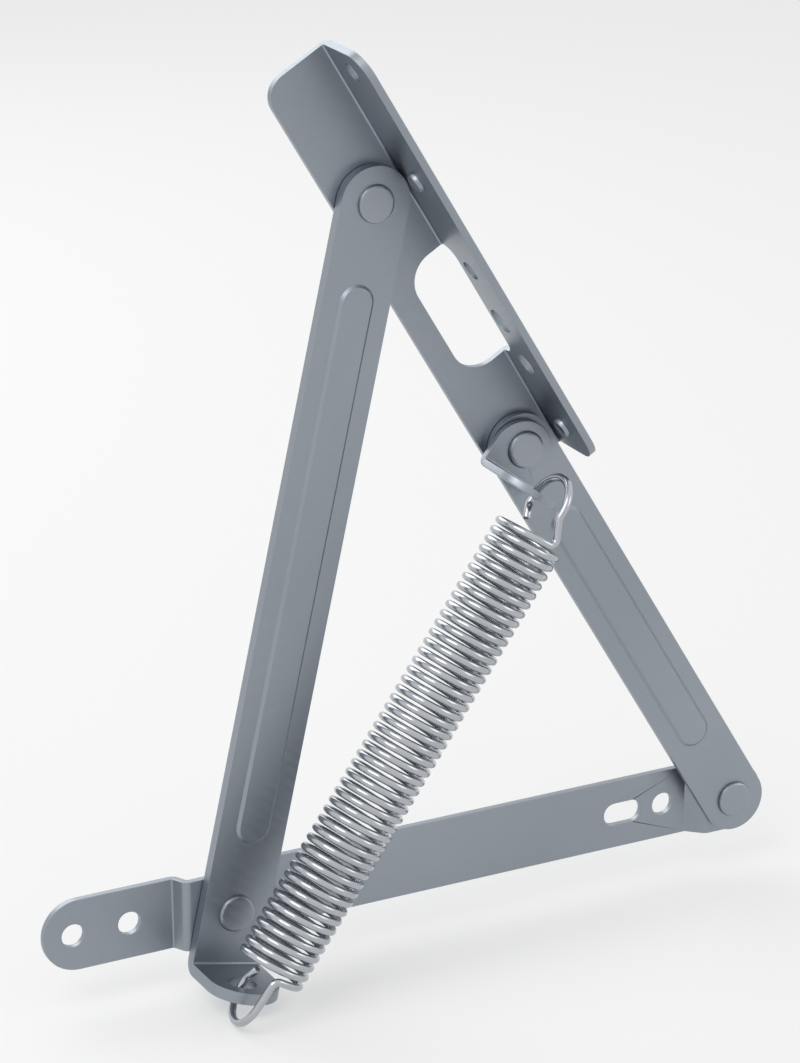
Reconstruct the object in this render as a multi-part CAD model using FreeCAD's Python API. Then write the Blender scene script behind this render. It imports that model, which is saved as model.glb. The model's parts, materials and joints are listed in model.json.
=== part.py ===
"""Sprung lid stay: a base bar, two folding arms, a lid bracket and a tension spring.

Frame: millimetres, +X along the base bar, +Y away from the viewer, +Z up. The origin is midway
between the two fixing holes at the left end, on the back face of the bar. Every flat piece is
drawn along +X from its own pivot and then turned to its direction in the open position.
"""
import FreeCAD, Part
import math
import os

V = FreeCAD.Vector

# Linkage, between pivot centres
PIVOT_A_X = 44.1
BASE_SPAN = 192.2
LEFT_ARM_LENGTH = 240.8
RIGHT_ARM_LENGTH = 166.9
BRACKET_SPAN = 104.9

# Base bar
BAR_WIDTH = 25.0
BAR_SHEET = 2.5
JOGGLE = 5.2
LEFT_END_X = -20.6
RIGHT_TAIL = 12.5
RAISED_HALF = 17.3
LEFT_RAMP = 2.6
RIGHT_STEP = 15.1
RIGHT_RAMP = 5.5
FIXING_HOLE = 8.0
FIXING_PITCH = 20.0
END_HOLE_BACK = 24.2
SLOT_BACK = 15.9
SLOT_LENGTH = 14.6

# Arms
LEFT_WIDTH = 24.5
LEFT_SHEET = 4.0
LEFT_FOOT = 18.1
FOOT_REACH = 25.4
RIGHT_WIDTH = 23.0
RIGHT_SHEET = 2.5
RIB_HEIGHT = 0.9
RIB_SLOPE = 1.0
LEFT_RIB_WIDTH = 12.3
LEFT_RIB_START = 24.5
LEFT_RIB_BACK = 26.4
RIGHT_RIB_WIDTH = 12.0
RIGHT_RIB_SETBACK = 28.2

# Lid bracket
BRACKET_SHEET = 2.5
WEB_LEFT = 11.5
FLANGE_FACE = 13.1
FLANGE_REACH = 24.5
BRACKET_TAIL = 9.3
BRACKET_TOP = 53.1
BRACKET_CORNER = 8.0
BRACKET_HEEL = 9.0
WINDOW_START = 31.2
WINDOW_LENGTH = 45.3
WINDOW_LEFT = 2.8
WINDOW_CORNER = 10.0
WINDOW_IN_FLANGE = 6.0
WINDOW_FLANGE_CORNER = 5.0
END_SCREW = 7.0
END_SCREW_BACK = 7.9
WINDOW_SCREWS = ((-1.8, 8.4), (16.5, 9.3), (37.9, 7.0))
STUD_PAST_B = 1.3
STUD_PAST_C = 1.9
STUD_DIAMETER = 7.2
STUD_HEIGHT = 1.9
STUD_ROUND = 1.5
STUD_SHANK = 4.0

# Spring hanger
HANGER_ANGLE = 232.0
HANGER_SHEET = 2.5
HANGER_WIDTH = 23.0
HANGER_TOP = 9.5
LIP_FACE = 9.7
LIP_REACH = 23.8

# Spring
COIL_DIAMETER = 24.6
WIRE = 2.6
COIL_PITCH = 3.52
COIL_TURNS = 47.15
COIL_END_TURN = -135.0
COIL_LOWERED = 0.45
SPRING_STANDOFF = 37.8
AXIS_SKEW = 1.46
HOOK_RADIUS = 9.6
HOOK_SETBACK = 0.5
HOOK_TAIL = 7.5
HOOK_NIP = 3.2
TAIL_KNEE = 3.0
TAIL_BEND = 4.0
LIP_LEAVE = 50.0
LIP_RUN = 4.6
LIP_BEND = 2.0
LIP_SPLIT = 0.6
LIP_KNEE = 8.5
LIP_KNEE_BEND = 4.0
FOOT_LEAVE = 11.0
FOOT_RUN = 4.0
FOOT_BEND = 2.2
FOOT_SIDE = 3.3
EYE_DIAMETER = 9.6
FOOT_EYE_DEPTH = 15.8
FOOT_EYE_SIDE = 1.5
LIP_EYE_DEPTH = 15.2
WIRE_SIDES = 4
WIRE_STEP = 30.0

# Rivets and gaps
RIVET_SHANK = 6.0
HEAD_DIAMETER = 12.7
HEAD_HEIGHT = 1.3
HEAD_ROUND = 0.9
TAIL_DIAMETER = 9.6
TAIL_HEIGHT = 1.5
TAIL_BEVEL = 0.8
HEAD_BANDS = 2
BEND_RADIUS = 0.8
RUN_GAP = 0.3
HEAD_GAP = 0.15
PIN_FIT = 0.05
WIRE_GAP = 0.3

# Derived planes and places
BAR_FRONT = -BAR_SHEET
RAISED_FRONT = BAR_FRONT - JOGGLE
ARM_BACK = RAISED_FRONT - RUN_GAP
LEFT_FRONT = ARM_BACK - LEFT_SHEET
RIGHT_FRONT = ARM_BACK - RIGHT_SHEET
HANGER_BACK = RIGHT_FRONT - RUN_GAP
HANGER_FRONT = HANGER_BACK - HANGER_SHEET
WEB_BACK = RAISED_FRONT + BRACKET_SHEET
COIL_RADIUS = (COIL_DIAMETER - WIRE) / 2
SCREW_ROW = RAISED_FRONT - FLANGE_REACH / 2
WINDOW_END = WINDOW_START + WINDOW_LENGTH
BRACKET_END = BRACKET_SPAN + BRACKET_TOP
THROUGH = LEFT_ARM_LENGTH + BASE_SPAN


def direction(angle):
    """Unit vector in the XZ plane at an angle in degrees from +X towards +Z."""
    return V(math.cos(math.radians(angle)), 0, math.sin(math.radians(angle)))


def angle_of(vector):
    """Angle in degrees of a vector in the XZ plane."""
    return math.degrees(math.atan2(vector.z, vector.x))


def placed(shape, origin, angle):
    """Turn a shape drawn along +X to an angle in the XZ plane and move it to its origin."""
    copy = shape.copy()
    copy.rotate(V(0, 0, 0), V(0, -1, 0), angle)
    copy.translate(origin)
    return copy


def linkage():
    """Pivots of the open stay, where the bracket and the right arm lie in one line."""
    reach = RIGHT_ARM_LENGTH + BRACKET_SPAN
    cosine = (LEFT_ARM_LENGTH**2 + BASE_SPAN**2 - reach**2) / (2 * LEFT_ARM_LENGTH * BASE_SPAN)
    left_angle = math.degrees(math.acos(cosine))
    pivot_a = V(PIVOT_A_X, 0, 0)
    pivot_d = pivot_a + V(BASE_SPAN, 0, 0)
    pivot_b = pivot_a + direction(left_angle) * LEFT_ARM_LENGTH
    right_angle = angle_of(pivot_b - pivot_d)
    pivot_c = pivot_d + direction(right_angle) * RIGHT_ARM_LENGTH
    return pivot_a, pivot_b, pivot_c, pivot_d, left_angle, right_angle


A, B, C, D, LEFT_ANGLE, RIGHT_ANGLE = linkage()
BRACKET_ANGLE = RIGHT_ANGLE
FOOT_EYE = A - direction(LEFT_ANGLE) * (LEFT_FOOT + LEFT_SHEET / 2)
LIP_EYE = C + direction(HANGER_ANGLE) * (LIP_FACE + HANGER_SHEET / 2)


def corner_arc(before, point, after, radius):
    """Start, end and arc that round one corner of a path."""
    back = (before - point).normalize()
    onward = (after - point).normalize()
    half = back.getAngle(onward) / 2
    start = point + back * (radius / math.tan(half))
    end = point + onward * (radius / math.tan(half))
    centre = point + (back + onward).normalize() * (radius / math.sin(half))
    middle = centre + (point - centre).normalize() * radius
    return start, end, Part.Arc(start, middle, end).toShape()


def rounded_wire(corners, closed):
    """Wire of lines through corner points, each given with the radius that rounds it."""
    count = len(corners)
    starts = []
    ends = []
    arcs = []
    for i, (point, radius) in enumerate(corners):
        if radius == 0:
            start, end, arc = point, point, None
        else:
            start, end, arc = corner_arc(corners[i - 1][0], point, corners[(i + 1) % count][0], radius)
        starts.append(start)
        ends.append(end)
        arcs.append(arc)
    edges = []
    for i in range(count):
        if arcs[i] is not None:
            edges.append(arcs[i])
        following = starts[(i + 1) % count]
        last = i == count - 1
        if (closed or not last) and (following - ends[i]).Length > 1e-6:
            edges.append(Part.makeLine(ends[i], following))
    return Part.Wire(edges)


def rounded_face(corners):
    """Flat face through corner points, each given with the radius that rounds it."""
    return Part.Face(rounded_wire(corners, True))


def outline_xz(corners):
    """Prism through everything along Y, from corners given as (x, z, radius)."""
    face = rounded_face([(V(x, -THROUGH, z), r) for x, z, r in corners])
    return face.extrude(V(0, 2 * THROUGH, 0))


def outline_xy(corners):
    """Prism through everything along Z, from corners given as (x, y, radius)."""
    face = rounded_face([(V(x, y, -THROUGH), r) for x, y, r in corners])
    return face.extrude(V(0, 0, 2 * THROUGH))


def bent_strip(path, sheet, side, sweep):
    """Sheet of even thickness bent along a path of points, swept by a vector.

    side is a unit vector that, crossed with each leg, gives the way the sheet thickens.
    """
    normals = [side.cross(second - first).normalize() for first, second in zip(path, path[1:])]
    near = [(path[0], 0)]
    far = [(path[0] + normals[0] * sheet, 0)]
    for point, n1, n2 in zip(path[1:], normals, normals[1:]):
        towards = side.dot(n1.cross(n2)) > 0
        near.append((point, BEND_RADIUS + (sheet if towards else 0)))
        far.append((point + (n1 + n2) * (sheet / (1 + n1.dot(n2))), BEND_RADIUS + (0 if towards else sheet)))
    near.append((path[-1], 0))
    far.append((path[-1] + normals[-1] * sheet, 0))
    return rounded_face(near + far[::-1]).extrude(sweep)


def drilled(shape, diameter, places, axis):
    """Round holes of one diameter through a shape, along an axis."""
    for place in places:
        shape = shape.cut(Part.makeCylinder(diameter / 2, 2 * THROUGH, place - axis * THROUGH, axis))
    return shape


def stadium(x1, x2, width, y):
    """Wire of a slot shape along X, in the plane of the given y."""
    r = width / 2
    corners = [(x1, -r), (x2, -r), (x2, r), (x1, r)]
    return rounded_face([(V(x, y, z), r) for x, z in corners]).OuterWire


def ribbed(arm, x1, x2, width, front, back):
    """Press a rib with sloping sides out of the front of an arm, hollow behind."""
    bead = Part.makeLoft([
        stadium(x1, x2, width, front),
        stadium(x1 + RIB_SLOPE, x2 - RIB_SLOPE, width - 2 * RIB_SLOPE, front - RIB_HEIGHT),
    ], True, True)
    hollow = Part.makeLoft([
        stadium(x1, x2, width, back),
        stadium(x1 + RIB_SLOPE, x2 - RIB_SLOPE, width - 2 * RIB_SLOPE, back - RIB_HEIGHT),
    ], True, True)
    return arm.fuse(bead).removeSplitter().cut(hollow)


def base_bar():
    """Flat bar with a raised seat under each base pivot, its fixing holes and its slot."""
    half = BAR_WIDTH / 2
    left = LEFT_END_X
    right = D.x + RIGHT_TAIL
    step = D.x - RIGHT_STEP
    ramp = LEFT_RAMP / 2
    front = [
        (left, BAR_FRONT),
        (A.x - RAISED_HALF - ramp, BAR_FRONT),
        (A.x - RAISED_HALF + ramp, RAISED_FRONT),
        (A.x + RAISED_HALF - ramp, RAISED_FRONT),
        (A.x + RAISED_HALF + ramp, BAR_FRONT),
        (step, BAR_FRONT),
        (step + RIGHT_RAMP, RAISED_FRONT),
        (right, RAISED_FRONT),
    ]
    bar = bent_strip([V(x, y, -half) for x, y in front], BAR_SHEET, V(0, 0, 1), V(0, 0, BAR_WIDTH))
    ends = outline_xz([(left, -half, half), (right, -half, half), (right, half, half), (left, half, half)])
    bar = bar.common(ends)
    end_hole = D.x - END_HOLE_BACK
    fixings = [V(x, 0, 0) for x in (-FIXING_PITCH / 2, FIXING_PITCH / 2, end_hole)]
    bar = drilled(bar, FIXING_HOLE, fixings, V(0, 1, 0))
    r = FIXING_HOLE / 2
    x1 = end_hole - SLOT_BACK - SLOT_LENGTH / 2
    x2 = x1 + SLOT_LENGTH
    slot = outline_xz([(x1, -r, r), (x2, -r, r), (x2, r, r), (x1, r, r)])
    bar = bar.cut(slot)
    return drilled(bar, RIVET_SHANK + 2 * PIN_FIT, [A, D], V(0, 1, 0))


def left_arm():
    """Long arm with a pressed rib and a foot turned forward that holds the spring."""
    half = LEFT_WIDTH / 2
    foot = -LEFT_FOOT - LEFT_SHEET
    top = LEFT_ARM_LENGTH + half
    reach = LEFT_FRONT - FOOT_REACH
    path = [V(top, ARM_BACK, -half), V(foot, ARM_BACK, -half), V(foot, reach, -half)]
    arm = bent_strip(path, LEFT_SHEET, V(0, 0, 1), V(0, 0, LEFT_WIDTH))
    arm = arm.common(outline_xz([(foot, -half, 0), (top, -half, half), (top, half, half), (foot, half, 0)]))
    toe = rounded_face([
        (V(-THROUGH, ARM_BACK, -half), 0),
        (V(-THROUGH, ARM_BACK, half), 0),
        (V(-THROUGH, reach, half), half),
        (V(-THROUGH, reach, -half), half),
    ])
    arm = arm.common(toe.extrude(V(THROUGH + 2 * top, 0, 0)))
    arm = ribbed(arm, LEFT_RIB_START, LEFT_ARM_LENGTH - LEFT_RIB_BACK, LEFT_RIB_WIDTH, LEFT_FRONT, ARM_BACK)
    arm = drilled(arm, RIVET_SHANK + 2 * PIN_FIT, [V(0, 0, 0), V(LEFT_ARM_LENGTH, 0, 0)], V(0, 1, 0))
    eye = Part.makeCylinder(EYE_DIAMETER / 2, 2 * LEFT_SHEET,
                            V(foot - LEFT_SHEET / 2, LEFT_FRONT - FOOT_EYE_DEPTH, FOOT_EYE_SIDE), V(1, 0, 0))
    return placed(arm.cut(eye), A, LEFT_ANGLE)


def right_arm():
    """Short flat arm with round ends and a pressed rib."""
    half = RIGHT_WIDTH / 2
    x1 = -half
    x2 = RIGHT_ARM_LENGTH + half
    face = rounded_face([(V(x, ARM_BACK, z), half) for x, z in ((x1, -half), (x2, -half), (x2, half), (x1, half))])
    arm = face.extrude(V(0, -RIGHT_SHEET, 0))
    end = RIGHT_ARM_LENGTH - RIGHT_RIB_SETBACK
    arm = ribbed(arm, RIGHT_RIB_SETBACK, end, RIGHT_RIB_WIDTH, RIGHT_FRONT, ARM_BACK)
    arm = drilled(arm, RIVET_SHANK + 2 * PIN_FIT, [V(0, 0, 0), V(RIGHT_ARM_LENGTH, 0, 0)], V(0, 1, 0))
    return placed(arm, D, RIGHT_ANGLE)


def lid_bracket():
    """Angle section with a web on the pivots, a screw flange and a window across the bend."""
    outer = -FLANGE_FACE - BRACKET_SHEET
    low = -BRACKET_TAIL
    high = BRACKET_END
    reach = RAISED_FRONT - FLANGE_REACH
    path = [V(low, WEB_BACK, WEB_LEFT), V(low, WEB_BACK, outer), V(low, reach, outer)]
    angle = bent_strip(path, BRACKET_SHEET, V(-1, 0, 0), V(high - low, 0, 0))
    web = outline_xz([
        (low, WEB_LEFT, BRACKET_HEEL),
        (low, outer, 0),
        (high, outer, 0),
        (high, WEB_LEFT, BRACKET_CORNER),
    ])
    flange = outline_xy([
        (low, WEB_BACK, 0),
        (high, WEB_BACK, 0),
        (high, reach, BRACKET_CORNER),
        (low, reach, BRACKET_CORNER),
    ])
    angle = angle.common(web).common(flange)
    window = outline_xz([
        (WINDOW_START, WINDOW_LEFT, WINDOW_CORNER),
        (WINDOW_START, -FLANGE_FACE, 0),
        (WINDOW_END, -FLANGE_FACE, 0),
        (WINDOW_END, WINDOW_LEFT, WINDOW_CORNER),
    ])
    inner_edge = RAISED_FRONT - WINDOW_IN_FLANGE
    notch = rounded_face([
        (V(WINDOW_START, WEB_BACK + BRACKET_SHEET, -FLANGE_FACE - 2 * BRACKET_SHEET), 0),
        (V(WINDOW_END, WEB_BACK + BRACKET_SHEET, -FLANGE_FACE - 2 * BRACKET_SHEET), 0),
        (V(WINDOW_END, inner_edge, -FLANGE_FACE - 2 * BRACKET_SHEET), WINDOW_FLANGE_CORNER),
        (V(WINDOW_START, inner_edge, -FLANGE_FACE - 2 * BRACKET_SHEET), WINDOW_FLANGE_CORNER),
    ]).extrude(V(0, 0, 3 * BRACKET_SHEET))
    angle = angle.cut(window).cut(notch)
    holes = [(WINDOW_START + along, diameter) for along, diameter in WINDOW_SCREWS]
    holes.append((BRACKET_END - END_SCREW_BACK, END_SCREW))
    holes += [(place, STUD_SHANK) for place in stud_places()]
    for place, diameter in holes:
        foot = V(place, SCREW_ROW, -FLANGE_FACE - 2 * BRACKET_SHEET)
        angle = angle.cut(Part.makeCylinder(diameter / 2, 3 * BRACKET_SHEET, foot, V(0, 0, 1)))
    angle = drilled(angle, RIVET_SHANK + 2 * PIN_FIT, [V(0, 0, 0), V(BRACKET_SPAN, 0, 0)], V(0, 1, 0))
    return placed(angle, C, BRACKET_ANGLE)


def stud_places():
    """Places of the two flange studs along the bracket, a little past each of its pivots."""
    return BRACKET_SPAN + STUD_PAST_B, STUD_PAST_C


def flange_studs():
    """Two low round-headed studs on the inner face of the flange, riveted through it."""
    shank = STUD_SHANK / 2 - PIN_FIT
    top = BRACKET_SHEET + STUD_HEIGHT
    head = rim(STUD_DIAMETER / 2, BRACKET_SHEET, top, STUD_ROUND, HEAD_BANDS)
    stud = turned([(0, 0), (shank, 0), (shank, BRACKET_SHEET)] + head)
    stud.rotate(V(0, 0, 0), V(1, 0, 0), 90)
    studs = []
    for place in stud_places():
        seated = stud.copy()
        seated.translate(V(place, SCREW_ROW, -FLANGE_FACE - BRACKET_SHEET))
        studs.append(placed(seated, C, BRACKET_ANGLE))
    return studs


def spring_hanger():
    """Small plate on the upper right pivot with a lip turned forward for the spring hook."""
    half = HANGER_WIDTH / 2
    end = LIP_FACE + HANGER_SHEET
    reach = HANGER_FRONT - LIP_REACH
    path = [V(end, reach, -half), V(end, HANGER_BACK, -half), V(-HANGER_TOP, HANGER_BACK, -half)]
    plate = bent_strip(path, HANGER_SHEET, V(0, 0, 1), V(0, 0, HANGER_WIDTH))
    plate = plate.common(outline_xz([
        (-HANGER_TOP, -half, half),
        (end, -half, 0),
        (end, half, 0),
        (-HANGER_TOP, half, half),
    ]))
    lip = rounded_face([
        (V(-THROUGH, HANGER_BACK, -half), 0),
        (V(-THROUGH, HANGER_BACK, half), 0),
        (V(-THROUGH, reach, half), half),
        (V(-THROUGH, reach, -half), half),
    ])
    plate = plate.common(lip.extrude(V(2 * THROUGH, 0, 0)))
    plate = drilled(plate, RIVET_SHANK + 2 * PIN_FIT, [V(0, 0, 0)], V(0, 1, 0))
    eye = Part.makeCylinder(EYE_DIAMETER / 2, 2 * HANGER_SHEET,
                            V(LIP_FACE - HANGER_SHEET / 2, HANGER_FRONT - LIP_EYE_DEPTH, 0), V(1, 0, 0))
    return placed(plate.cut(eye), C, HANGER_ANGLE)


def coil_axis():
    """Lower end, direction and length of the coil, and how far past its ends the eyes lie."""
    middle = (FOOT_EYE + LIP_EYE) * 0.5
    angle = angle_of(LIP_EYE - FOOT_EYE) - AXIS_SKEW
    length = COIL_PITCH * COIL_TURNS
    start = middle - direction(angle) * (length / 2 + COIL_LOWERED)
    reach = (LIP_EYE - middle).dot(direction(angle)) - length / 2
    return V(start.x, -SPRING_STANDOFF, start.z), angle, length, reach - COIL_LOWERED, reach + COIL_LOWERED


def mitred(points):
    """Solid wire along a path of points, flat-sided, mitred where the path turns."""
    ways = [(after - before).normalize() for before, after in zip(points, points[1:])]
    ring = wire_section(points[0], ways[0])
    faces = [Part.Face(Part.makePolygon(ring + ring[:1]))]
    for point, way, following in zip(points[1:], ways, ways[1:] + ways[-1:]):
        mitre = way + following
        end = [corner + way * ((point - corner).dot(mitre) / way.dot(mitre)) for corner in ring]
        for k in range(WIRE_SIDES):
            side = [ring[k - 1], ring[k], end[k], end[k - 1]]
            faces.append(Part.Face(Part.makePolygon(side + side[:1])))
        ring = end
    faces.append(Part.Face(Part.makePolygon(ring + ring[:1])))
    return Part.Solid(Part.Shell(faces))


def wire_section(point, way):
    """Corners of the spring wire, square to its path, with the round wire's area."""
    across = way.cross(V(1, 0, 0)).normalize()
    along = across.cross(way)
    step = 2 * math.pi / WIRE_SIDES
    size = WIRE / 2 * math.sqrt(step / math.sin(step))
    turns = [(i + 0.5) * step for i in range(WIRE_SIDES)]
    return [point + (across * math.cos(turn) + along * math.sin(turn)) * size for turn in turns]


def coil_point(turn):
    """Point on the coil's centre line, and the way of its wire, at degrees from its lower end."""
    angle = math.radians(COIL_END_TURN - 360 * COIL_TURNS + turn)
    point = V(COIL_PITCH * turn / 360, COIL_RADIUS * math.cos(angle), COIL_RADIUS * math.sin(angle))
    way = V(COIL_PITCH / (2 * math.pi), -COIL_RADIUS * math.sin(angle), COIL_RADIUS * math.cos(angle))
    return point, way.normalize()


def turned_over(vector):
    """The same vector with the coil turned end for end about Y."""
    return V(-vector.x, vector.y, -vector.z)


def hook(corners, eye_beyond, side):
    """Points of a hook past the coil end at x = 0, from its root corners over and down behind."""
    centre = eye_beyond - HOOK_SETBACK
    top = centre + HOOK_RADIUS
    return eased(corners + [
        (V(top, -HOOK_RADIUS, side), HOOK_RADIUS),
        (V(top, HOOK_RADIUS, 0), HOOK_RADIUS),
        (V(centre - TAIL_KNEE, HOOK_RADIUS, 0), TAIL_BEND),
        (V(centre - HOOK_TAIL, HOOK_RADIUS - HOOK_NIP, 0), 0),
    ])


def eased(corners):
    """Points along a path of corners, each given with the radius that rounds it."""
    points = [corners[0][0]]
    for (before, _), (point, radius), (after, _) in zip(corners, corners[1:], corners[2:]):
        arc = corner_arc(before, point, after, radius)[2]
        steps = math.ceil(math.degrees(arc.Length / radius) / WIRE_STEP)
        for spot in arc.discretize(steps + 1):
            if (spot - points[-1]).Length > WIRE / 3:
                points.append(spot)
    return points + [corners[-1][0]]


def spring():
    """Coil with its lower hook, and the upper hook on its own from a little past its root."""
    start, angle, length, foot_beyond, lip_beyond = coil_axis()
    foot_root, foot_way = coil_point(FOOT_LEAVE)
    foot_root = turned_over(foot_root)
    foot_way = turned_over(foot_way * -1)
    lower = hook([(foot_root, 0), (foot_root + foot_way * FOOT_RUN, FOOT_BEND)], foot_beyond, -FOOT_SIDE)
    last = 360 * COIL_TURNS - LIP_LEAVE
    steps = math.ceil((last - FOOT_LEAVE) / WIRE_STEP)
    turns = [FOOT_LEAVE + (last - FOOT_LEAVE) * i / steps for i in range(1, steps + 1)]
    route = [turned_over(point) for point in lower[::-1]] + [coil_point(turn)[0] for turn in turns]
    lip_root, lip_way = coil_point(last)
    route.append(lip_root + lip_way * LIP_SPLIT)
    lip_root = lip_root - V(length, 0, 0)
    top = hook([
        (lip_root + lip_way * (LIP_SPLIT + WIRE_GAP), 0),
        (lip_root + lip_way * LIP_RUN, LIP_BEND),
        (V(LIP_KNEE, -HOOK_RADIUS, 0), LIP_KNEE_BEND),
    ], lip_beyond, 0)
    upper_hook = mitred(top)
    upper_hook.translate(V(length, 0, 0))
    return placed(mitred(route), start, angle), placed(upper_hook, start, angle)


def turned(profile):
    """Round piece turned about Y from half of its section, given as (radius, y) points."""
    points = [V(radius, y, 0) for radius, y in profile]
    return Part.Face(Part.makePolygon(points + points[:1])).revolve(V(0, 0, 0), V(0, 1, 0), 360)


def rim(radius, seat, top, rounding, bands):
    """Half section of a head from its seat to its middle, its rim eased in flat bands."""
    way = math.copysign(1, top - seat)
    points = [(radius, seat)]
    for i in range(bands + 1):
        turn = math.radians(90 * i / bands)
        inset = rounding * (1 - math.cos(turn))
        drop = rounding * (1 - math.sin(turn))
        points.append((radius - inset, top - way * drop))
    return points + [(0, top)]


def front_head(face):
    """Half section of the low rounded head in front of a face."""
    return rim(HEAD_DIAMETER / 2, face, face - HEAD_HEIGHT, HEAD_ROUND, HEAD_BANDS)


def closing_head(face):
    """Half section of the smaller bevelled head formed behind a face."""
    return rim(TAIL_DIAMETER / 2, face, face + TAIL_HEIGHT, TAIL_BEVEL, 1)


def rivet(place, head_face, tail_face):
    """Solid rivet along Y, with a low rounded head in front and a closing head behind."""
    shank = [(RIVET_SHANK / 2, head_face), (RIVET_SHANK / 2, tail_face)]
    return placed(turned(front_head(head_face)[::-1] + shank + closing_head(tail_face)), place, 0)


def rivets():
    """The four pivots; the one at D is in two, so that the linkage can open there."""
    raised_back = RAISED_FRONT + BAR_SHEET
    head_d = RIGHT_FRONT - HEAD_GAP
    shank = RIVET_SHANK / 2
    stub = front_head(head_d)[::-1] + [(shank, head_d), (shank, ARM_BACK), (0, ARM_BACK)]
    tail = [(0, RAISED_FRONT), (shank, RAISED_FRONT), (shank, raised_back)] + closing_head(raised_back)
    return {
        "rivet_a": rivet(A, LEFT_FRONT - HEAD_GAP, raised_back),
        "rivet_b": rivet(B, LEFT_FRONT, WEB_BACK + HEAD_GAP),
        "rivet_c": rivet(C, HANGER_FRONT - HEAD_GAP, WEB_BACK),
        "rivet_d": placed(turned(stub), D, 0),
        "rivet_d_tail": placed(turned(tail), D, 0),
    }


def build():
    """All nodes of the stay by name."""
    coil_node, hook_node = spring()
    stud_b, stud_c = flange_studs()
    nodes = {
        "base_bar": base_bar(),
        "left_arm": left_arm(),
        "right_arm": right_arm(),
        "lid_bracket": lid_bracket(),
        "flange_stud_upper": stud_b,
        "flange_stud_lower": stud_c,
        "spring_hanger": spring_hanger(),
        "spring_coil": coil_node,
        "spring_hook": hook_node,
    }
    nodes.update(rivets())
    return nodes


def main():
    """Write each node as its own STEP file."""
    os.makedirs("parts", exist_ok=True)
    for name, shape in build().items():
        solids = shape.Solids
        result = solids[0] if len(solids) == 1 else Part.makeCompound(solids)
        result.exportStep("parts/" + name + ".step")
        print(name, len(solids), round(result.Volume, 2), result.isValid())


main()
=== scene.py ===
"""Looks of a sprung lid stay: zinc-plated sheet steel, solid rivets and a bright tension spring.

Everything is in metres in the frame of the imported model: +X along the base bar, +Y away from the
viewer, +Z up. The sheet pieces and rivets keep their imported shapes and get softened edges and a
finish. The spring is one round wire that runs from one hook to the other.
"""

import json
import logging
import math
from dataclasses import dataclass, field
from enum import Enum

import bmesh
import bpy
from mathutils import Matrix, Vector

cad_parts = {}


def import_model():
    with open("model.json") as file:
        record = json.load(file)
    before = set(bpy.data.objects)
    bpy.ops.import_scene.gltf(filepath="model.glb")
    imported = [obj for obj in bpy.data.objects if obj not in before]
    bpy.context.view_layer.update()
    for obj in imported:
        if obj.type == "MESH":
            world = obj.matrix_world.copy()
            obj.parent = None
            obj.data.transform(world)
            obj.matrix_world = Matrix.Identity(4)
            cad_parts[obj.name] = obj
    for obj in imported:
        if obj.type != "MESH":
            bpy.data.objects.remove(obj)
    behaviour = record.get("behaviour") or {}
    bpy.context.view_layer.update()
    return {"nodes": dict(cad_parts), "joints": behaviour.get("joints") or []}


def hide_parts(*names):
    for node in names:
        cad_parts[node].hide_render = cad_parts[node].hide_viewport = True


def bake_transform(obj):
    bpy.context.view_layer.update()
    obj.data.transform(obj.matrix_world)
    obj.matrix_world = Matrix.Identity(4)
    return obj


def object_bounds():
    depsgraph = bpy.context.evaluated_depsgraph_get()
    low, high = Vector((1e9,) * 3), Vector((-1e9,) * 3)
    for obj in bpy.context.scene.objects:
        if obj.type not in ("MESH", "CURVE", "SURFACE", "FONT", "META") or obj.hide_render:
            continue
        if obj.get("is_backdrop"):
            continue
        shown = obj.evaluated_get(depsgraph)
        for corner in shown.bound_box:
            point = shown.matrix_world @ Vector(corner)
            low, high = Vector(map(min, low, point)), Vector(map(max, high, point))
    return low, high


LOG = logging.getLogger("lid_stay")
PHOTO_WIDTH = 800
PHOTO_HEIGHT = 1063
SENSOR = 36.0
ALONG_X = Vector((1.0, 0.0, 0.0))
ALONG_Y = Vector((0.0, 1.0, 0.0))

Corners = list[tuple[Vector, float]]


class Slot(Enum):
    """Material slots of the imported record."""

    PLATE = "plate"
    RIVET = "rivet"
    WIRE = "spring_wire"


class End(Enum):
    """The two ends of the spring, each named after the piece that its hook holds."""

    FOOT = "foot of the left arm"
    LIP = "lip of the hanger"


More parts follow.
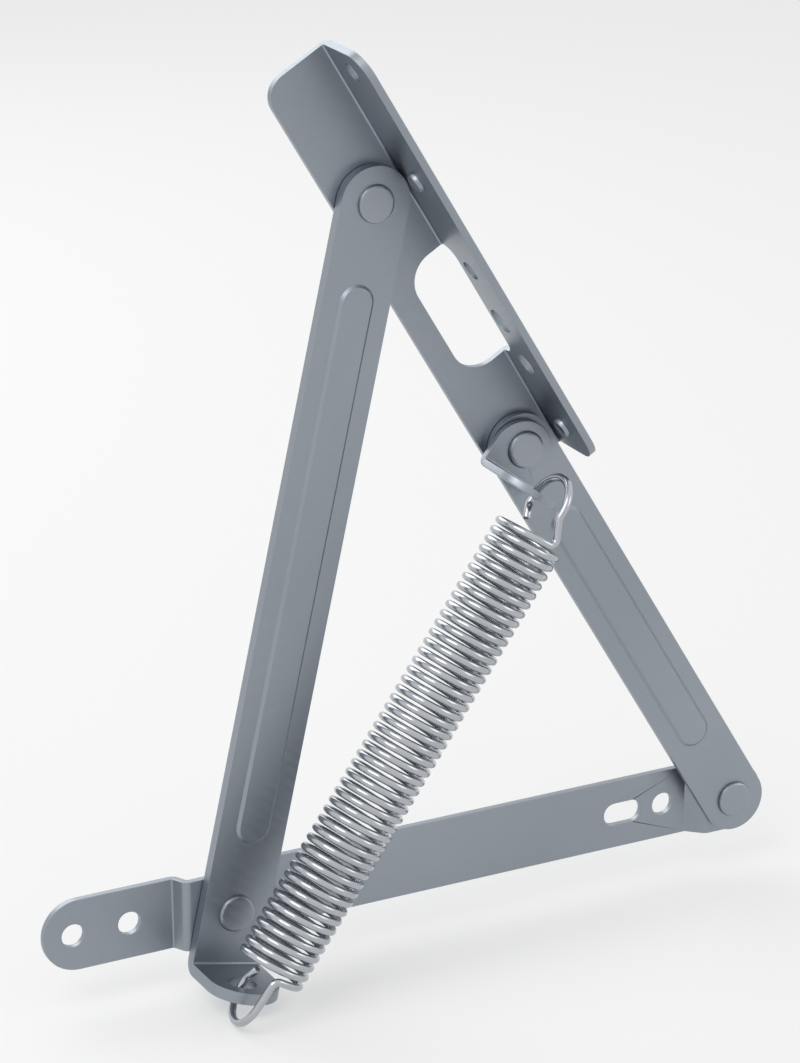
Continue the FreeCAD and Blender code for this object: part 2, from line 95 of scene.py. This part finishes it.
@dataclass(frozen=True)
class ZincFinish:
    """Zinc plating: a cool grey metal with a fine grain and slow changes of tone and gloss.

    Attributes:
        name: Name of the material.
        dull: Colour where the plating is darkest.
        bright: Colour where it is lightest.
        roughness: Middle of the roughness.
        spread: How far the roughness goes to either side.
        clouds: Changes of tone per metre.
        grain: Grains per metre.
        stretch: How many times longer the grain is along X than across it.
        depth: Depth of the grain in metres.
    """

    name: str
    dull: tuple[float, float, float]
    bright: tuple[float, float, float]
    roughness: float
    spread: float
    clouds: float
    grain: float
    depth: float
    stretch: float = 1.0
    detail: float = 4.0
    dull_below: float = 0.3
    bright_above: float = 0.75
    smooth_below: float = 0.3
    rough_above: float = 0.7

    def material(self) -> bpy.types.Material:
        """Build the material of this finish.

        Returns:
            A node material.
        """
        material = bpy.data.materials.new(self.name)
        material.use_nodes = True
        nodes = material.node_tree.nodes
        links = material.node_tree.links
        shader = nodes["Principled BSDF"]
        shader.inputs["Metallic"].default_value = 1.0
        self._add_tone(nodes, links, shader)
        self._add_grain(nodes, links, shader)
        return material

    def _noise(self, nodes: bpy.types.Nodes, links: bpy.types.NodeLinks, scale: float,
               stretch: float) -> bpy.types.Node:
        """Noise on the object's own coordinates.

        Args:
            nodes: Nodes of the material.
            links: Links of the material.
            scale: Features per metre.
            stretch: How many times longer the features are along X than across it.

        Returns:
            The noise node.
        """
        coordinates = nodes.new("ShaderNodeTexCoord")
        mapping = nodes.new("ShaderNodeMapping")
        mapping.inputs["Scale"].default_value = (1.0 / stretch, 1.0, 1.0)
        noise = nodes.new("ShaderNodeTexNoise")
        noise.inputs["Scale"].default_value = scale
        noise.inputs["Detail"].default_value = self.detail
        links.new(coordinates.outputs["Object"], mapping.inputs["Vector"])
        links.new(mapping.outputs["Vector"], noise.inputs["Vector"])
        return noise

    def _add_tone(self, nodes: bpy.types.Nodes, links: bpy.types.NodeLinks,
                  shader: bpy.types.Node) -> None:
        """Let the colour change slowly over the metal.

        Args:
            nodes: Nodes of the material.
            links: Links of the material.
            shader: The shader that takes the colour.
        """
        clouds = self._noise(nodes, links, self.clouds, 1.0)
        tone = nodes.new("ShaderNodeValToRGB")
        first, last = tone.color_ramp.elements
        first.position = self.dull_below
        first.color = (*self.dull, 1.0)
        last.position = self.bright_above
        last.color = (*self.bright, 1.0)
        links.new(clouds.outputs["Fac"], tone.inputs["Fac"])
        links.new(tone.outputs["Color"], shader.inputs["Base Color"])

    def _add_grain(self, nodes: bpy.types.Nodes, links: bpy.types.NodeLinks,
                   shader: bpy.types.Node) -> None:
        """Give the metal its grain, in gloss and in height.

        Args:
            nodes: Nodes of the material.
            links: Links of the material.
            shader: The shader that takes roughness and normal.
        """
        gloss = nodes.new("ShaderNodeMapRange")
        gloss.inputs["From Min"].default_value = self.smooth_below
        gloss.inputs["From Max"].default_value = self.rough_above
        gloss.inputs["To Min"].default_value = self.roughness - self.spread
        gloss.inputs["To Max"].default_value = self.roughness + self.spread
        grain = self._noise(nodes, links, self.grain, self.stretch)
        links.new(grain.outputs["Fac"], gloss.inputs["Value"])
        links.new(gloss.outputs["Result"], shader.inputs["Roughness"])
        bump = nodes.new("ShaderNodeBump")
        bump.inputs["Strength"].default_value = 1.0
        bump.inputs["Distance"].default_value = self.depth
        links.new(grain.outputs["Fac"], bump.inputs["Height"])
        links.new(bump.outputs["Normal"], shader.inputs["Normal"])


SHEET_FINISH = ZincFinish(
    name="satin_zinc_sheet", dull=(0.285, 0.318, 0.355), bright=(0.315, 0.348, 0.385),
    roughness=0.40, spread=0.035, clouds=14.0, grain=900.0, depth=0.000004, stretch=3.0)
RIVET_FINISH = ZincFinish(
    name="zinc_rivet", dull=(0.300, 0.330, 0.365), bright=(0.330, 0.360, 0.395),
    roughness=0.34, spread=0.03, clouds=40.0, grain=1500.0, depth=0.000002)
WIRE_FINISH = ZincFinish(
    name="bright_zinc_wire", dull=(0.42, 0.44, 0.47), bright=(0.47, 0.49, 0.52),
    roughness=0.20, spread=0.03, clouds=60.0, grain=1800.0, depth=0.000002)


@dataclass(frozen=True)
class PlatedPieces:
    """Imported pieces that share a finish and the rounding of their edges."""

    names: tuple[str, ...]
    slot: Slot
    finish: ZincFinish
    edge: float
    edge_segments: int = 2
    weld: float = 0.000002
    sharp: float = math.radians(28)

    def dress(self, nodes: dict[str, bpy.types.Object]) -> None:
        """Give every piece its finish and softened edges.

        Args:
            nodes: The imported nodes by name.
        """
        material = self.finish.material()
        for name in self.names:
            piece = nodes[name]
            piece.data.materials.clear()
            piece.data.materials.append(material)
            self.soften(piece)
            LOG.info("dressed %s in %s", name, self.finish.name)

    def soften(self, piece: bpy.types.Object) -> None:
        """Round the sharp edges of a piece, shade its curved faces smooth and keep the flat ones even.

        Args:
            piece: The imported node's object.
        """
        weld = piece.modifiers.new("weld", "WELD")
        weld.merge_threshold = self.weld
        bevel = piece.modifiers.new("edge", "BEVEL")
        bevel.width = self.edge
        bevel.segments = self.edge_segments
        bevel.limit_method = "ANGLE"
        bevel.angle_limit = self.sharp
        bevel.use_clamp_overlap = True
        piece.modifiers.new("shade", "NODES").node_group = smooth_shading(self.sharp)
        level = piece.modifiers.new("level", "WEIGHTED_NORMAL")
        level.mode = "FACE_AREA"
        level.keep_sharp = True


SHEETS = PlatedPieces(
    names=("base_bar", "left_arm", "right_arm", "lid_bracket", "spring_hanger"),
    slot=Slot.PLATE, finish=SHEET_FINISH, edge=0.00030)
RIVETS = PlatedPieces(
    names=("rivet_a", "rivet_b", "rivet_c", "rivet_d", "rivet_d_tail", "flange_stud_upper",
           "flange_stud_lower"),
    slot=Slot.RIVET, finish=RIVET_FINISH, edge=0.00010)


@dataclass
class WireRun:
    """A round wire drawn out ring by ring: straight runs, bends and a coil.

    Attributes:
        radius: Radius of the wire.
        sides: Sides of the wire's section.
        bend_step: Length of wire between rings in a bend.
        least_rings: Fewest rings in a bend.
        shortest: Straight runs shorter than this are left out.
        mesh: The wire so far.
        ring: Edges of the last ring.
    """

    radius: float
    sides: int = 12
    bend_step: float = 0.0005
    least_rings: int = 4
    shortest: float = 0.00001
    mesh: bmesh.types.BMesh = field(default_factory=bmesh.new)
    ring: list[bmesh.types.BMEdge] = field(default_factory=list)

    def begin(self, point: Vector, along: Vector) -> None:
        """Place the first ring.

        Args:
            point: Centre of the wire.
            along: Direction of the wire.
        """
        turn = along.to_track_quat("Z", "Y").to_matrix().to_4x4()
        made = bmesh.ops.create_circle(self.mesh, cap_ends=False, radius=self.radius, segments=self.sides,
                                       matrix=Matrix.Translation(point) @ turn)
        self.ring = list({edge for vert in made["verts"] for edge in vert.link_edges})

    def turn(self, centre: Vector, axis: Vector, angle: float, steps: int, advance: Vector) -> None:
        """Carry the wire round an axis, with a step along for a coil.

        Args:
            centre: A point on the axis.
            axis: Direction of the axis.
            angle: Angle in radians.
            steps: Number of rings.
            advance: Travel along the axis over the whole angle.
        """
        made = bmesh.ops.spin(self.mesh, geom=self.ring, cent=centre, axis=axis, dvec=advance / steps,
                              angle=angle, steps=steps, use_merge=False, use_duplicate=False)
        self.ring = [part for part in made["geom_last"] if isinstance(part, bmesh.types.BMEdge)]

    def straight(self, travel: Vector) -> None:
        """Carry the wire straight on.

        Args:
            travel: Way and length of the run.
        """
        made = bmesh.ops.extrude_edge_only(self.mesh, edges=self.ring)
        moved = {part for part in made["geom"] if isinstance(part, bmesh.types.BMVert)}
        self.ring = [part for part in made["geom"]
                     if isinstance(part, bmesh.types.BMEdge) and set(part.verts) <= moved]
        bmesh.ops.translate(self.mesh, verts=list(moved), vec=travel)

    def follow(self, corners: Corners) -> None:
        """Carry the wire through corner points, rounding each one with its own radius.

        Args:
            corners: The present point and the ones after it, each with its radius. The last one
                ends the wire.
        """
        start = corners[0][0]
        for (here, radius), (after, _) in zip(corners[1:], corners[2:]):
            inward = (here - start).normalized()
            onward = (after - here).normalized()
            angle = inward.angle(onward)
            back = radius * math.tan(angle / 2)
            level = (here - start).length - back
            if level > self.shortest:
                self.straight(inward * level)
            begin = here - inward * back
            centre = begin + (onward - inward * inward.dot(onward)).normalized() * radius
            rings = max(self.least_rings, round(radius * angle / self.bend_step))
            self.turn(centre, inward.cross(onward), angle, rings, Vector())
            start = here + onward * back
        self.straight(corners[-1][0] - start)

    def cap(self, along: Vector, chamfer: float) -> None:
        """Close the end of the wire with a small chamfer.

        Args:
            along: Direction of the wire at its end.
            chamfer: Width of the chamfer.
        """
        self.straight(along.normalized() * chamfer)
        verts = list({vert for edge in self.ring for vert in edge.verts})
        centre = sum((vert.co for vert in verts), Vector()) / len(verts)
        share = 1.0 - chamfer / self.radius
        bmesh.ops.scale(self.mesh, verts=verts, vec=(share, share, share), space=Matrix.Translation(-centre))
        bmesh.ops.edgeloop_fill(self.mesh, edges=self.ring)

    def finish(self, name: str, place: Matrix) -> bpy.types.Mesh:
        """Turn the wire into a smooth mesh at its place.

        Args:
            name: Name of the mesh.
            place: Turn and place of the wire.

        Returns:
            The mesh.
        """
        bmesh.ops.recalc_face_normals(self.mesh, faces=self.mesh.faces)
        for face in self.mesh.faces:
            face.smooth = True
        bmesh.ops.transform(self.mesh, matrix=place, verts=self.mesh.verts)
        data = bpy.data.meshes.new(name)
        self.mesh.to_mesh(data)
        self.mesh.free()
        return data


@dataclass(frozen=True)
class Hook:
    """One end hook, measured from the coil's end along the spring.

    Attributes:
        leave: Angle before the coil's end at which the wire leaves the coil, in radians.
        run: Length of wire from there to the first bend.
        bend: Radius of that bend.
        centre: Distance to the centre of the hook's round part.
        side: How far the front leg stands to one side at the top.
        knee: Distance to a second bend on the way up, or 0 for none.
        knee_bend: Radius of the second bend.
        radius: Radius of the hook's round part.
        nip: How far the wire's end turns inward.
        tail: Distance from the centre back to the wire's end.
        tail_knee: Distance from the centre back to the tail's bend.
        tail_bend: Radius of the tail's bend.
    """

    leave: float
    run: float
    bend: float
    centre: float
    side: float
    knee: float = 0.0
    knee_bend: float = 0.0040
    radius: float = 0.0096
    nip: float = 0.0032
    tail: float = 0.0075
    tail_knee: float = 0.0030
    tail_bend: float = 0.0040

    def corners(self, point: Vector, along: Vector) -> Corners:
        """Route of the hook past the coil's end at x = 0, with Y away from the viewer.

        Args:
            point: Point where the wire leaves the coil.
            along: Direction of the wire there.

        Returns:
            The corners with the radius that rounds each one.
        """
        top = self.centre + self.radius
        route = [(point, 0.0), (point + along * self.run, self.bend)]
        if self.knee > 0.0:
            route.append((Vector((self.knee, -self.radius, 0.0)), self.knee_bend))
        return route + [
            (Vector((top, -self.radius, self.side)), self.radius),
            (Vector((top, self.radius, 0.0)), self.radius),
            (Vector((self.centre - self.tail_knee, self.radius, 0.0)), self.tail_bend),
            (Vector((self.centre - self.tail, self.radius - self.nip, 0.0)), 0.0),
        ]


@dataclass(frozen=True)
class TensionSpring:
    """Close-wound tension spring of round wire with a long hook at each end."""

    wire: float = 0.0026
    coil_diameter: float = 0.0246
    pitch: float = 0.00352
    turns: float = 47.15
    end_turn: float = math.radians(-135)
    foot_end: tuple[float, float, float] = (0.043603, -0.0378, -0.009823)
    foot_hook: Hook = Hook(leave=math.radians(11), run=0.0040, bend=0.0022, centre=0.00979, side=-0.0033)
    lip_hook: Hook = Hook(leave=math.radians(50), run=0.0046, bend=0.0020, centre=0.01069, side=0.0,
                          knee=0.0085)
    chamfer: float = 0.00035
    rings_per_turn: int = 36

    @property
    def length(self) -> float:
        """Length of the coil along its axis."""
        return self.pitch * self.turns

    def point(self, turn: float) -> tuple[Vector, Vector]:
        """Point on the coil's centre line.

        Args:
            turn: Angle from the coil's foot in radians.

        Returns:
            The point and the wire's direction there, with X along the spring.
        """
        angle = self.end_turn + turn - 2 * math.pi * self.turns
        lead = self.pitch / (2 * math.pi)
        radius = (self.coil_diameter - self.wire) / 2
        point = Vector((lead * turn, radius * math.cos(angle), radius * math.sin(angle)))
        along = Vector((lead, -radius * math.sin(angle), radius * math.cos(angle)))
        return point, along.normalized()

    def route(self, end: End) -> Corners:
        """Corners of one hook, with X along the spring from its foot.

        Args:
            end: Which end of the spring.

        Returns:
            The corners with the radius that rounds each one.
        """
        if end is End.FOOT:
            flip = Matrix.Diagonal((-1.0, 1.0, -1.0))
            point, along = self.point(self.foot_hook.leave)
            corners = self.foot_hook.corners(flip @ point, flip @ -along)
            return [(flip @ corner, bend) for corner, bend in corners]
        shift = ALONG_X * self.length
        point, along = self.point(2 * math.pi * self.turns - self.lip_hook.leave)
        return [(corner + shift, bend) for corner, bend in self.lip_hook.corners(point - shift, along)]

    def drawn(self) -> WireRun:
        """Draw the whole spring as one wire, with X along the spring from its foot.

        Returns:
            The finished run of wire.
        """
        run = WireRun(self.wire / 2)
        foot = self.route(End.FOOT)
        lip = self.route(End.LIP)
        run.begin(foot[0][0], foot[1][0] - foot[0][0])
        first = list(run.ring)
        run.follow(foot)
        run.cap(foot[-1][0] - foot[-2][0], self.chamfer)
        run.ring = first
        travel = ALONG_X * (lip[0][0].x - foot[0][0].x)
        run.turn(Vector(), ALONG_X, 2 * math.pi * travel.x / self.pitch,
                 round(self.turns * self.rings_per_turn), travel)
        run.follow(lip)
        run.cap(lip[-1][0] - lip[-2][0], self.chamfer)
        return run

    def fit(self, joints: dict[str, dict]) -> None:
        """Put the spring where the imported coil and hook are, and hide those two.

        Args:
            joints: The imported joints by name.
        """
        axis = Vector(joints["spring_stretch"]["axis"]).normalized()
        start = Vector(self.foot_end)
        turned = Matrix((axis, ALONG_Y, axis.cross(ALONG_Y))).transposed().to_4x4()
        data = self.drawn().finish("tension_spring", Matrix.Translation(start) @ turned)
        data.materials.append(WIRE_FINISH.material())
        spring = added("tension_spring", data)
        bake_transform(spring)
        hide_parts("spring_coil", "spring_hook")
        LOG.info("built tension_spring with %d faces", len(data.polygons))


@dataclass
class Lamp:
    """A square soft lamp that faces the stay."""

    name: str
    towards: Vector
    distance: float
    width: float
    power: float

    def hang(self, target: Vector) -> None:
        """Hang the lamp and turn it to its target.

        Args:
            target: Point that the lamp faces.
        """
        data = bpy.data.lights.new(self.name, "AREA")
        data.energy = self.power
        data.size = self.width
        lamp = added(self.name, data)
        way = self.towards.normalized()
        lamp.location = target + way * self.distance
        lamp.rotation_mode = "QUATERNION"
        lamp.rotation_quaternion = (-way).to_track_quat("-Z", "Y")


@dataclass
class Studio:
    """Pale floor under the stay, a white room and soft lamps."""

    floor_size: float = 14.0
    floor_cells: int = 8
    floor_gap: float = 0.001
    floor_colour: tuple[float, float, float, float] = (0.80, 0.80, 0.80, 1.0)
    floor_glow: float = 0.45
    room_light: float = 0.75
    lamps: tuple[Lamp, ...] = (
        Lamp("upper_left", Vector((-0.61, -0.29, 0.74)), 1.1, 0.70, 4.0),
        Lamp("upper_back", Vector((-0.10, 0.84, 0.54)), 1.2, 0.90, 4.0),
        Lamp("front_right", Vector((0.75, -0.60, 0.25)), 1.3, 0.60, 1.5),
    )

    def build(self, low: Vector, high: Vector) -> None:
        """Set up floor, room and lamps round the stay.

        Args:
            low: Lowest corner of the stay.
            high: Highest corner of the stay.
        """
        self.lay_floor(low.z - self.floor_gap)
        self.paint_room()
        for lamp in self.lamps:
            lamp.hang((low + high) / 2)

    def lay_floor(self, height: float) -> None:
        """Lay the floor.

        Args:
            height: Its level in metres.
        """
        shape = bmesh.new()
        bmesh.ops.create_grid(shape, x_segments=self.floor_cells, y_segments=self.floor_cells,
                              size=self.floor_size / 2, matrix=Matrix.Translation((0.0, 0.0, height)))
        data = bpy.data.meshes.new("floor")
        shape.to_mesh(data)
        shape.free()
        data.materials.append(self._floor_material())
        added("floor", data)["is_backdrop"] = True

    def paint_room(self) -> None:
        """White world that lights the stay a little less than it shows."""
        world = bpy.data.worlds.new("room")
        bpy.context.scene.world = world
        world.use_nodes = True
        nodes = world.node_tree.nodes
        links = world.node_tree.links
        background = nodes["Background"]
        background.inputs["Color"].default_value = (1.0, 1.0, 1.0, 1.0)
        level = nodes.new("ShaderNodeMapRange")
        level.inputs["To Min"].default_value = self.room_light
        level.inputs["To Max"].default_value = 1.0
        links.new(self._seen_white(nodes, links), level.inputs["Value"])
        links.new(level.outputs["Result"], background.inputs["Strength"])

    def _floor_material(self) -> bpy.types.Material:
        """Matt pale floor that glows a little where it is seen, and lights nothing.

        Returns:
            A node material.
        """
        material = bpy.data.materials.new("pale_floor")
        material.use_nodes = True
        nodes = material.node_tree.nodes
        links = material.node_tree.links
        nodes.clear()
        output = nodes.new("ShaderNodeOutputMaterial")
        matt = nodes.new("ShaderNodeBsdfDiffuse")
        matt.inputs["Color"].default_value = self.floor_colour
        glow = nodes.new("ShaderNodeEmission")
        mix = nodes.new("ShaderNodeMixShader")
        share = nodes.new("ShaderNodeMath")
        share.operation = "MULTIPLY"
        share.inputs[1].default_value = self.floor_glow
        links.new(self._seen_white(nodes, links), share.inputs[0])
        links.new(share.outputs[0], mix.inputs["Fac"])
        links.new(matt.outputs[0], mix.inputs[1])
        links.new(glow.outputs[0], mix.inputs[2])
        links.new(mix.outputs[0], output.inputs["Surface"])
        return material

    def _seen_white(self, nodes: bpy.types.Nodes, links: bpy.types.NodeLinks) -> bpy.types.NodeSocket:
        """A value of 1 for rays of the eye, of gloss and of glass, and 0 for the rest.

        Args:
            nodes: Nodes of the material or world.
            links: Links of the material or world.

        Returns:
            The socket that holds the value.
        """
        path = nodes.new("ShaderNodeLightPath")
        first = nodes.new("ShaderNodeMath")
        first.operation = "ADD"
        second = nodes.new("ShaderNodeMath")
        second.operation = "ADD"
        second.use_clamp = True
        links.new(path.outputs["Is Camera Ray"], first.inputs[0])
        links.new(path.outputs["Is Glossy Ray"], first.inputs[1])
        links.new(first.outputs[0], second.inputs[0])
        links.new(path.outputs["Is Transmission Ray"], second.inputs[1])
        return second.outputs[0]


@dataclass(frozen=True)
class PhotoCamera:
    """The camera's place, turn and focal length as fitted to the photograph."""

    place: tuple[float, float, float] = (-0.4697, -1.1492, 0.5940)
    heading: float = math.radians(26.854)
    dip: float = math.radians(20.28)
    roll: float = math.radians(-0.63)
    focal_pixels: float = 4176.0
    nearest: float = 0.05
    farthest: float = 60.0

    def build(self) -> None:
        """Create the camera and make it the scene's own."""
        data = bpy.data.cameras.new("photo_camera")
        data.sensor_width = SENSOR
        data.lens = SENSOR * self.focal_pixels / max(PHOTO_WIDTH, PHOTO_HEIGHT)
        data.clip_start = self.nearest
        data.clip_end = self.farthest
        camera = added("photo_camera", data)
        camera.rotation_mode = "QUATERNION"
        camera.rotation_quaternion = self._turn().to_quaternion()
        camera.location = self.place
        bpy.context.scene.camera = camera

    def _turn(self) -> Matrix:
        """Turn of the camera from its heading, dip and roll.

        Returns:
            The rotation matrix.
        """
        forward = Vector((math.sin(self.heading) * math.cos(self.dip),
                          math.cos(self.heading) * math.cos(self.dip), -math.sin(self.dip)))
        right = Vector((math.cos(self.heading), -math.sin(self.heading), 0.0))
        up = right.cross(forward)
        rolled_right = right * math.cos(self.roll) + up * math.sin(self.roll)
        rolled_up = up * math.cos(self.roll) - right * math.sin(self.roll)
        return Matrix((rolled_right, rolled_up, -forward)).transposed()


def added(name: str, data: bpy.types.ID) -> bpy.types.Object:
    """Put a mesh, lamp or camera into the scene.

    Args:
        name: Name of the new object.
        data: What the object shows.

    Returns:
        The object, at the origin.
    """
    thing = bpy.data.objects.new(name, data)
    bpy.context.scene.collection.objects.link(thing)
    return thing


def smooth_shading(sharp: float) -> bpy.types.NodeTree:
    """Node group that shades faces smooth and keeps edges sharper than an angle crisp.

    Args:
        sharp: Angle between faces in radians.

    Returns:
        The node group, made once.
    """
    found = bpy.data.node_groups.get("smooth_shading")
    if found is not None:
        return found
    group = bpy.data.node_groups.new("smooth_shading", "GeometryNodeTree")
    group.interface.new_socket("Geometry", in_out="INPUT", socket_type="NodeSocketGeometry")
    group.interface.new_socket("Geometry", in_out="OUTPUT", socket_type="NodeSocketGeometry")
    source = group.nodes.new("NodeGroupInput")
    result = group.nodes.new("NodeGroupOutput")
    angle = group.nodes.new("GeometryNodeInputMeshEdgeAngle")
    crisp = group.nodes.new("FunctionNodeCompare")
    crisp.data_type = "FLOAT"
    crisp.operation = "LESS_EQUAL"
    crisp.inputs["B"].default_value = sharp
    faces = group.nodes.new("GeometryNodeSetShadeSmooth")
    faces.domain = "FACE"
    edges = group.nodes.new("GeometryNodeSetShadeSmooth")
    edges.domain = "EDGE"
    group.links.new(source.outputs[0], faces.inputs["Geometry"])
    group.links.new(faces.outputs[0], edges.inputs["Geometry"])
    group.links.new(angle.outputs["Unsigned Angle"], crisp.inputs["A"])
    group.links.new(crisp.outputs[0], edges.inputs["Shade Smooth"])
    group.links.new(edges.outputs[0], result.inputs[0])
    return group


def main() -> None:
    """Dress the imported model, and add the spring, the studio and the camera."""
    logging.basicConfig(level=logging.INFO, format="%(name)s: %(message)s")
    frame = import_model()
    SHEETS.dress(frame["nodes"])
    RIVETS.dress(frame["nodes"])
    TensionSpring().fit({joint["name"]: joint for joint in frame["joints"]})
    low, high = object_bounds()
    Studio().build(low, high)
    PhotoCamera().build()
    bpy.context.scene.view_settings.view_transform = "Standard"


if __name__ == "__main__":
    main()
